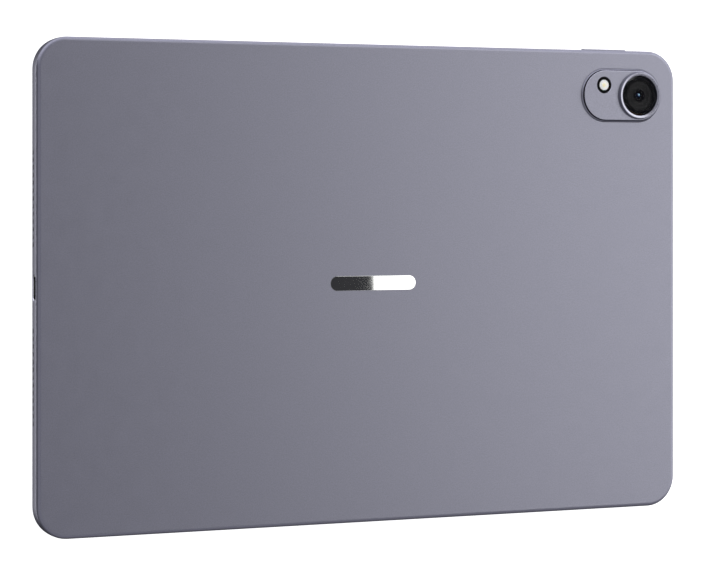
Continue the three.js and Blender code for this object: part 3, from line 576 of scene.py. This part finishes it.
def dress(piece, slot):
    piece.data.materials.clear()
    piece.data.materials.append(FINISHES[slot])
    return piece


def dress_where(piece, finish, chosen):
    """Gives a second finish to the faces for which chosen(centre in millimetres, normal) is true."""
    piece.data.materials.append(FINISHES[finish])
    index = len(piece.data.materials) - 1
    for face in piece.data.polygons:
        if chosen(face.center / MM, face.normal):
            face.material_index = index


def add(piece, slot, body, *nodes, angle=32, finish=None):
    """Finishes a new piece: its shading, its material, the body that it rides on and the node it replaces."""
    smooth(piece, angle)
    dress(piece, finish or slot)
    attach(piece, body)
    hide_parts(*nodes)
    return piece


# ------------------------------------------------------------------------------------------------
# Rear housing
# ------------------------------------------------------------------------------------------------


def housing_block():
    profile = [(SIDE_WALL + INNER_ROUND * (1 - math.sin(math.radians(t))),
                FLOOR - INNER_ROUND * (1 - math.cos(math.radians(t)))) for t in (0, 22, 45, 68, 90)]
    profile += [(SIDE_WALL, LEDGE), (RIM, LEDGE), (RIM, 0.06), (RIM - 0.05, 0.0)]
    profile += fillet(CROWN + RIM_ROUND, RIM_ROUND, RIM_ROUND, RIM_ROUND, 270, 190, 5)
    for share in (0.85, 0.7, 0.55, 0.4, 0.25, 0.1, 0.0):
        profile.append((CROWN * share * share, CROWN_TOP - share * (CROWN_TOP - RIM_ROUND)))
    profile += fillet(BACK_ROUND, BACK - BACK_ROUND, BACK_ROUND, BACK_ROUND, 180, 90, 12)
    return loft("housing_shell", [(body_loop(inset), z) for inset, z in profile])


def island_loop(inset):
    return pill(ISLAND_SPAN + 2 * (ISLAND_RADIUS - inset), 2 * (ISLAND_RADIUS - inset), 40)


def side_cutters():
    tools = []
    for side, turn in ((1, OUT_OF_PORT_END), (-1, OUT_OF_CAMERA_END)):
        for row in (-1, 1):
            for i in range(GRILLE_COUNT):
                y = row * GRILLE_FROM_MIDDLE + (i - (GRILLE_COUNT - 1) / 2) * GRILLE_PITCH
                place = place_on(side * LENGTH / 2, y, GRILLE_Z, turn)
                tools.append(straight("slot", pill(SLOT_LENGTH, SLOT_HEIGHT, 8), CUT_FROM, CUT_TO, place))
    top = place_on(KEY.x, -WIDTH / 2, KEY.z, OUT_OF_TOP)
    rocker_slot = pill(ROCKER_SLOT_LENGTH, KEY_SLOT_HEIGHT, 12)
    tools.append(straight("rocker_slot", rocker_slot, CUT_FROM, CUT_TO, top))
    power = place_on(-LENGTH / 2, POWER.y, POWER.z, OUT_OF_CAMERA_END)
    power_slot = pill(POWER_SLOT_LENGTH, KEY_SLOT_HEIGHT, 12)
    tools.append(straight("power_slot", power_slot, CUT_FROM, CUT_TO, power))
    hole = place_on(MICROPHONE_X, -WIDTH / 2, GRILLE_Z, OUT_OF_TOP)
    # A hair longer than it is high, so that the two halves of its outline don't share points
    round_hole = pill(MICROPHONE_HOLE + 0.001, MICROPHONE_HOLE, 12)
    tools.append(straight("microphone_hole", round_hole, CUT_FROM, CUT_TO, hole))
    # The port's opening is 0.1 larger than its shell all round, and flares at the face of the end.
    width, height = PORT_HIGH.y - PORT_LOW.y + 0.2, PORT_HIGH.z - PORT_LOW.z + 0.2
    flare = [(0.0, -4.0), (0.0, -0.3), (0.28, 0.02), (0.6, 2.0)]
    sections = [(pill(width + 2 * grow, height + 2 * grow, 16), z) for grow, z in flare]
    tools.append(loft("port_slot", sections, place_on(LENGTH / 2, 0, PORT.z, OUT_OF_PORT_END)))
    return tools


def is_slot_wall(at, normal):
    """The walls of the speaker slots in both ends."""
    depth = LENGTH / 2 - abs(at.x)
    in_a_row = GRILLE_FROM_MIDDLE / 3 < abs(at.y) < 2 * GRILLE_FROM_MIDDLE and abs(at.z - GRILLE_Z) < 0.6
    return in_a_row and 0.25 < depth < SIDE_WALL and abs(normal.x) < 0.3


def is_port_flare(at, normal):
    """The bevel round the port's opening."""
    depth = LENGTH / 2 - at.x
    near_port = abs(at.y) < 5.2 and abs(at.z - PORT.z) < 2.2
    return near_port and 0 <= depth < 0.32 and abs(normal.x) < 0.95


def build_housing():
    shell = housing_block()
    above_back = 8.0
    tools = side_cutters()
    tools.append(straight("island_hole", island_loop(-0.1), 4.0, above_back, place_on(ISLAND_X, LENS.y, 0)))
    emblem = pill(EMBLEM_HIGH.x - EMBLEM_LOW.x + 0.1, EMBLEM_HIGH.y - EMBLEM_LOW.y + 0.1, 32)
    tools.append(straight("emblem_pocket", emblem, EMBLEM_LOW.z - 0.05, above_back, Matrix.Identity(4)))
    boolean(shell, [joined("housing_cutters", tools)])
    add(shell, "housing_aluminium", TABLET, "rear_housing", angle=28)
    # Painted shade: the walls of the speaker slots are dressed near black for the shade inside the slots.
    dress_where(shell, "deep_black_and_painted_shade", is_slot_wall)
    dress_where(shell, "cut_edge", is_port_flare)


def build_emblem():
    length, height = EMBLEM_HIGH.x - EMBLEM_LOW.x, EMBLEM_HIGH.y - EMBLEM_LOW.y
    edge = [(0, EMBLEM_LOW.z), (0, EMBLEM_HIGH.z - 0.1), (0.03, EMBLEM_HIGH.z - 0.03), (0.1, EMBLEM_HIGH.z)]
    sections = [(pill(length - 2 * inset, height - 2 * inset, 32), z) for inset, z in edge]
    add(loft("emblem_inlay", sections), "polished_inlay", TABLET, "emblem_plate")


def build_screen():
    low, high = node_box("cover_glass")
    length, width = high.x - low.x, high.y - low.y
    radius = CORNER - (LENGTH - length) / 2
    edge = fillet(0.3, 0.3, 0.3, 0.3, 270, 180, 5) + fillet(0.12, high.z - 0.12, 0.12, 0.12, 180, 90, 3)
    sections = [(rounded_rectangle(length - 2 * i, width - 2 * i, radius - i), z) for i, z in edge]
    add(loft("screen_glass", sections), "cover_glass", TABLET, "cover_glass")


# ------------------------------------------------------------------------------------------------
# Rear camera
# ------------------------------------------------------------------------------------------------


def build_island():
    low = node_box("camera_island")[0].z
    wall_low, wall_high = BACK + 0.52, ISLAND_TOP - EDGE_BREAK
    edge = [(0.0, low), (0.0, BACK + 0.04), (0.10, BACK + 0.20), (0.28, BACK + 0.38), (0.46, wall_low)]
    edge += [(0.74, wall_high), (0.80, ISLAND_TOP - 0.06), (0.88, ISLAND_TOP - 0.01), (0.95, ISLAND_TOP)]
    place = place_on(ISLAND_X, LENS.y, 0)
    plate = loft("camera_plate", [(island_loop(inset), z) for inset, z in edge], place)
    holes = []
    for centre, radius, cut in ((LENS, RING_RADIUS + 0.08, 0.0), (FLASH, 3.14, EDGE_BREAK)):
        profile = [(0, 0), (radius, 0), (radius, ISLAND_TOP - cut), (radius + cut + 0.3, ISLAND_TOP + 0.3),
                   (0, 12)]
        holes.append(turned("plate_hole", profile, place_on(centre.x, centre.y, 0)))
    boolean(plate, holes)
    add(plate, "housing_aluminium", TABLET, "camera_island", angle=28)
    dress_where(plate, "cut_edge", lambda at, normal: at.z > wall_high and normal.z < 0.985)
    # Painted shade: the plate's steep wall is dressed near black to stand in for the dark that it mirrors.
    dress_where(plate, "deep_black_and_painted_shade", lambda at, normal: wall_low < at.z < wall_high and 0.2 < normal.z < 0.9)


def build_camera():
    here = place_on(LENS.x, LENS.y, 0)
    outer, top = RING_RADIUS, RING_TOP
    shoulder = outer - 0.16
    profile = [(RING_BORE, RING_FOOT), (outer, RING_FOOT), (outer, top - 0.82), (outer - 0.10, top - 0.72)]
    profile += [(shoulder, top - 0.30), (shoulder - 0.03, top - 0.16), (shoulder - 0.11, top - 0.06)]
    profile += [(shoulder - 0.22, top - 0.01), (shoulder - 0.34, top)]
    profile += [(8.52, top - 0.02), (RING_BORE + 0.06, top - 0.27), (RING_BORE, top - 0.34)]
    ring = turned("camera_ring", profile, here, 128)
    add(ring, "housing_aluminium", TABLET, "camera_trim_ring", angle=24)
    dress_where(ring, "ring_crown", lambda at, normal: at.z > top - 0.36 and (at.xy - LENS.xy).length < 8.7)

    low, high = node_box("camera_cover_glass")
    window = (high.x - low.x) / 2
    glass = [(0, low.z), (window, low.z), (window, high.z - 0.14), (window - 0.04, high.z - 0.05),
             (window - 0.14, high.z), (0, high.z)]
    add(turned("camera_window", glass, here, 128), "camera_glass", TABLET, "camera_cover_glass")

    low, high = node_box("camera_light_mask")
    edge, foot, face = (high.x - low.x) / 2, low.z, high.z
    mask = [(4.3, foot), (edge, foot), (edge, face), (5.72, face), (5.62, face - 0.06), (5.56, face - 0.10),
            (4.98, face - 0.10), (4.94, face - 0.16), (4.88, face - 0.16), (4.84, face - 0.10),
            (4.36, face - 0.10), (4.3, face - 0.16)]
    mask = turned("camera_light_mask_rings", mask, here, 128)
    add(mask, "black_plastic", TABLET, "camera_light_mask", finish="deep_black_and_painted_shade")
    # The mask's turned face carries the painted sheen rings.
    dress_where(mask, "turned_black_painted_sheen", lambda at, normal: (at.xy - LENS.xy).length < 5.6 and normal.z > 0.5)

    low, high = node_box("camera_lens_barrel")
    edge, foot, face = (high.x - low.x) / 2, low.z, high.z
    barrel = [(1.6, foot), (edge, foot), (edge, face - 0.02), (3.62, face - 0.02), (3.58, face - 0.10),
              (3.50, face - 0.10), (3.46, face - 0.02), (2.46, face - 0.02), (2.40, face - 0.10),
              (2.30, face - 0.24), (1.50, face - 0.46), (1.45, face - 0.60)]
    barrel = turned("camera_barrel", barrel, here, 128)
    add(barrel, "black_plastic", TABLET, "camera_lens_barrel", finish="deep_black_and_painted_shade")
    # The barrel's turned face carries the painted sheen rings.
    dress_where(barrel, "turned_black_painted_sheen", lambda at, normal: (at.xy - LENS.xy).length > 2.42 and normal.z > 0.5)

    low, high = node_box("camera_front_lens")
    radius, ball = (high.x - low.x) / 2, 1.6
    dome = [(0, low.z - 0.2), (radius, low.z - 0.2), (radius, low.z - 0.05)]
    for i in range(21):
        r = 1.5 * math.cos(math.pi / 2 * i / 20)
        dome.append((r, high.z - ball + math.sqrt(ball * ball - r * r)))
    add(turned("camera_lens", dome, here, 128), "lens_glass", TABLET, "camera_front_lens")


def build_flash():
    here = place_on(FLASH.x, FLASH.y, 0)
    low, high = node_box("flash_bezel")
    edge, top = (high.x - low.x) / 2, high.z
    bezel = [(FLASH_RADIUS, low.z), (edge, low.z), (edge, top - 0.1), (edge - 0.03, top - 0.03),
             (edge - 0.1, top), (2.35, top), (2.24, top - 0.03), (FLASH_RADIUS, top - 0.2)]
    add(turned("flash_ring", bezel, here), "black_plastic", TABLET, "flash_bezel", finish="deep_black_and_painted_shade")
    low, high = node_box("flash_lens")
    edge, top = (high.x - low.x) / 2, high.z
    lens = [(0, low.z), (edge, low.z), (edge, top - 0.16), (edge - 0.06, top - 0.06), (edge - 0.18, top)]
    for radius in (1.6, 1.3, 1.0, 0.7):
        lens += [(radius, top - 0.01), (radius - 0.05, top - 0.07), (radius - 0.12, top - 0.01)]
    lens += [(0.3, top), (0, top)]
    add(turned("flash_window", lens, here), "flash_diffuser", TABLET, "flash_lens", angle=50)


# ------------------------------------------------------------------------------------------------
# Charging port
# ------------------------------------------------------------------------------------------------


def build_port_shell():
    length, height = PORT_HIGH.y - PORT_LOW.y, PORT_HIGH.z - PORT_LOW.z
    mouth, back = PORT_HIGH.x, PORT_LOW.x
    outline = [(0.0, back), (0.0, mouth - 0.06), (0.05, mouth), (PORT_WALL - 0.08, mouth),
               (PORT_WALL, mouth - 0.1), (PORT_WALL, back + 0.3)]
    sections = [(pill(length - 2 * inset, height - 2 * inset, 20), out) for inset, out in outline]
    shell = loft("port_shell", sections, place_on(0, PORT.y, PORT.z, OUT_OF_PORT_END))
    add(shell, "steel", TABLET, "usb_c_shell")
    half_height, half_length = height / 2 - PORT_WALL + 0.02, length / 2 - PORT_WALL + 0.02

    # Painted shade: the inside of the port's shell is dressed dark steel for the shade within the opening.
    def is_shaded_inside(at, normal):
        return at.x < mouth - 0.05 and abs(at.z - PORT.z) < half_height and abs(at.y) < half_length

    dress_where(shell, "port_steel_painted_shade", is_shaded_inside)


# ------------------------------------------------------------------------------------------------
# Keys
# ------------------------------------------------------------------------------------------------


def key_loft(name, length, flange_length, flange, outer, place):
    """A pill-shaped key with a flange inside, its own +Z pointing out of the body."""
    flange_low, flange_high = flange
    flange_outline = pill(flange_length, KEY_THICKNESS, 14)
    sections = [(flange_outline, flange_low), (flange_outline, flange_high)]
    edge = fillet(KEY_ROUND, outer - KEY_ROUND, KEY_ROUND, KEY_ROUND, 180, 90, 6)
    for inset, z in [(0, flange_high)] + edge:
        sections.append((pill(length - 2 * inset, KEY_THICKNESS - 2 * inset, 14), z))
    return loft(name, sections, place)


def nub(name, low, high, place):
    """The square foot of a key, which presses its switch."""
    outline = [(NUB_HALF, NUB_HALF), (-NUB_HALF, NUB_HALF), (-NUB_HALF, -NUB_HALF), (NUB_HALF, -NUB_HALF)]
    return straight(name, outline, low, high, place)


def build_keys():
    low, high = node_box("volume_rocker")
    place = place_on(KEY.x, 0, KEY.z, OUT_OF_TOP)
    rocker = key_loft("volume_key_cap", ROCKER_LENGTH, high.x - low.x, ROCKER_FLANGE, -low.y, place)
    nubs = [nub("nub", -high.y, ROCKER_NUB_END, place_on(KEY.x + x, 0, KEY.z, OUT_OF_TOP))
            for x in (-NUBS_FROM_MIDDLE, NUBS_FROM_MIDDLE)]
    boolean(rocker, [joined("nubs", nubs)], "UNION")
    add(rocker, "housing_aluminium", VOLUME_KEY, "volume_rocker")

    low, high = node_box("power_button")
    place = place_on(0, POWER.y, POWER.z, OUT_OF_CAMERA_END)
    button = key_loft("power_key_cap", POWER_LENGTH, high.y - low.y, POWER_FLANGE, -low.x, place)
    boolean(button, [nub("plunger", -high.x, POWER_NUB_END, place)], "UNION")
    add(button, "housing_aluminium", POWER_KEY, "power_button")


# The port's tongue is dressed near black as painted shade deep inside the port.
NODE_FINISHES = {"usb_c_tongue": "deep_black_and_painted_shade"}

build_housing()
build_emblem()
build_screen()
build_island()
build_camera()
build_flash()
build_port_shell()
build_keys()

for row in frame["record"]["subparts"]:
    node = frame["nodes"][row["node"]]
    if not node.hide_render:
        dress(node, NODE_FINISHES.get(row["node"], row["material_slot"]))

# ------------------------------------------------------------------------------------------------
# Studio
# ------------------------------------------------------------------------------------------------


SKY_TOP = 2.0
SKY_TINT = (0.975, 0.975, 1.06)
SOFTBOX_TINT = (1.0, 1.0, 0.975)


def build_floor():
    """A white floor just under the screen, 16 m across, that the metal doesn't mirror."""
    bm = bmesh.new()
    bmesh.ops.create_grid(bm, x_segments=12, y_segments=12, size=8.0)
    mesh = bpy.data.meshes.new("studio_floor")
    bm.to_mesh(mesh)
    bm.free()
    floor = new_object("studio_floor", mesh)
    floor.location.z = -0.0002
    material, tree, shader = principled("floor_paint")
    paper = noise(tree, 3.0, detail=2.0)
    link(tree, ramp(tree, paper, [(0.3, (0.88, 0.88, 0.88)), (0.7, (0.90, 0.90, 0.90))]),
         shader.inputs["Base Color"])
    shader.inputs["Roughness"].default_value = 0.9
    shader.inputs["Emission Color"].default_value = (1.0, 1.0, 1.0, 1.0)
    shader.inputs["Emission Strength"].default_value = 0.85
    floor.visible_glossy = False
    floor.data.materials.append(material)


def mapped(tree, value, low, high):
    """A smooth step from 0 at low to 1 at high."""
    node = tree.nodes.new("ShaderNodeMapRange")
    node.interpolation_type = "SMOOTHSTEP"
    node.inputs["From Min"].default_value = low
    node.inputs["From Max"].default_value = high
    link(tree, value, node.inputs["Value"])
    return node.outputs["Result"]


def brightness(tree, coordinate, stops):
    """A brightness, at most SKY_TOP, for each value of a direction's coordinate from -1 to 1."""
    place = tree.nodes.new("ShaderNodeMapRange")
    place.inputs["From Min"].default_value = -1.0
    link(tree, coordinate, place.inputs["Value"])
    tones = [((at + 1) / 2, shade(SKY_TINT, v / SKY_TOP)) for at, v in stops]
    return ramp(tree, place.outputs["Result"], tones)


def blend(tree, factor, first, second):
    node = tree.nodes.new("ShaderNodeMix")
    node.data_type = "RGBA"
    link(tree, factor, node.inputs["Factor"])
    link(tree, first, node.inputs["A"])
    link(tree, second, node.inputs["B"])
    return node.outputs["Result"]


def build_sky():
    """White where it is seen directly. What the metal mirrors is a room: bright beyond the top edge, darker
    beyond the bottom edge, and along the middle a dark strip beside the softbox and others below the
    horizon."""
    world = bpy.data.worlds.new("studio")
    bpy.context.scene.world = world
    world.use_nodes = True
    tree = world.node_tree
    tree.nodes.clear()
    direction = tree.nodes.new("ShaderNodeTexCoord").outputs["Generated"]
    split = tree.nodes.new("ShaderNodeSeparateXYZ")
    link(tree, direction, split.inputs["Vector"])
    x, y, z = split.outputs["X"], split.outputs["Y"], split.outputs["Z"]
    above = brightness(tree, x, [(-1.0, 1.1), (-0.85, 0.9), (-0.6, 0.1), (-0.36, 0.02), (-0.1, 0.40),
                                 (0.0, 0.55), (0.92, 0.55), (1.0, 0.15)])
    below = brightness(tree, x, [(-1.0, 0.9), (-0.6, 0.6), (-0.3, 0.0), (0.34, 0.0), (0.46, 2.0), (0.70, 2.0),
                                 (0.80, 0.0), (1.0, 0.0)])
    middle_strip = blend(tree, mapped(tree, z, -0.08, 0.08), below, above)
    top_side = brightness(tree, z, [(-1.0, 0.1), (-0.7, 0.8), (-0.3, 1.5), (0.1, 1.9), (0.5, 1.1), (0.8, 0.6),
                                    (1.0, 0.5)])
    bottom_side = brightness(tree, z, [(-1.0, 0.08), (-0.5, 0.10), (0.0, 0.28), (0.2, 0.42), (0.7, 0.58),
                                       (1.0, 0.55)])
    room = blend(tree, mapped(tree, y, -0.2, -0.6), middle_strip, top_side)
    room = blend(tree, mapped(tree, y, 0.2, 0.6), room, bottom_side)
    light = tree.nodes.new("ShaderNodeBackground")
    link(tree, room, light.inputs["Color"])
    light.inputs["Strength"].default_value = SKY_TOP
    seen = tree.nodes.new("ShaderNodeBackground")
    seen.inputs["Color"].default_value = (1.0, 1.0, 1.0, 1.0)
    seen.inputs["Strength"].default_value = 1.05
    path = tree.nodes.new("ShaderNodeLightPath")
    mix = tree.nodes.new("ShaderNodeMixShader")
    link(tree, path.outputs["Is Camera Ray"], mix.inputs[0])
    link(tree, light.outputs[0], mix.inputs[1])
    link(tree, seen.outputs[0], mix.inputs[2])
    output = tree.nodes.new("ShaderNodeOutputWorld")
    link(tree, mix.outputs[0], output.inputs["Surface"])


def softbox(name, centre, width, height, radiance):
    data = bpy.data.lights.new(name, "AREA")
    data.shape = "RECTANGLE"
    data.size, data.size_y = width, height
    data.energy = radiance * math.pi * width * height
    data.color = SOFTBOX_TINT
    light = bpy.data.objects.new(name, data)
    bpy.context.scene.collection.objects.link(light)
    light.location = centre
    light.visible_camera = False
    return light


def build_camera_view():
    """Level with the tablet's short side, and 25 degrees round from straight above its back."""
    data = bpy.data.cameras.new("camera")
    camera = bpy.data.objects.new("camera", data)
    bpy.context.scene.collection.objects.link(camera)
    bpy.context.scene.camera = camera
    data.sensor_width = 36.0
    data.lens = 135.34
    data.shift_y = -0.1273
    data.clip_start, data.clip_end = 0.01, 50.0
    yaw = math.radians(25.004)
    right = Vector((-math.cos(yaw), 0.0, math.sin(yaw)))
    up = Vector((0.0, -1.0, 0.0))
    back = Vector((math.sin(yaw), 0.0, math.cos(yaw)))
    place = Vector((0.42531, -0.03324, 0.90236))
    camera.matrix_world = Matrix(((right.x, up.x, back.x, place.x), (right.y, up.y, back.y, place.y),
                                  (right.z, up.z, back.z, place.z), (0, 0, 0, 1)))
    return place


def build_lights(eye):
    # The main softbox starts where the camera sees it mirrored in the middle of the back, and goes on
    # towards the camera end, so that the back brightens from the port end to the camera end.
    centre = Vector((0.0, 0.0, BACK * MM))
    mirrored = (centre - eye).normalized()
    mirrored.z = -mirrored.z
    reach, width, depth = 2.6, 2.4, 3.3
    near_edge = centre + mirrored * reach
    across = Vector((-mirrored.z, 0.0, mirrored.x)).normalized()
    beyond_top_edge = Vector((0.0, -1.0, 0.0))
    light = softbox("main_softbox", near_edge + across * (width / 2) + beyond_top_edge, width, depth, 1.8)
    # Its width runs along across and its depth along Y, and it shines along its own -Z.
    outward = across.cross(Vector((0.0, 1.0, 0.0)))
    if outward.z < 0:
        outward, across = -outward, -across
    light.rotation_euler = Matrix((across, Vector((0.0, 1.0, 0.0)), outward)).transposed().to_euler()


build_floor()
build_sky()
build_lights(build_camera_view())
bpy.context.scene.view_settings.view_transform = "Standard"
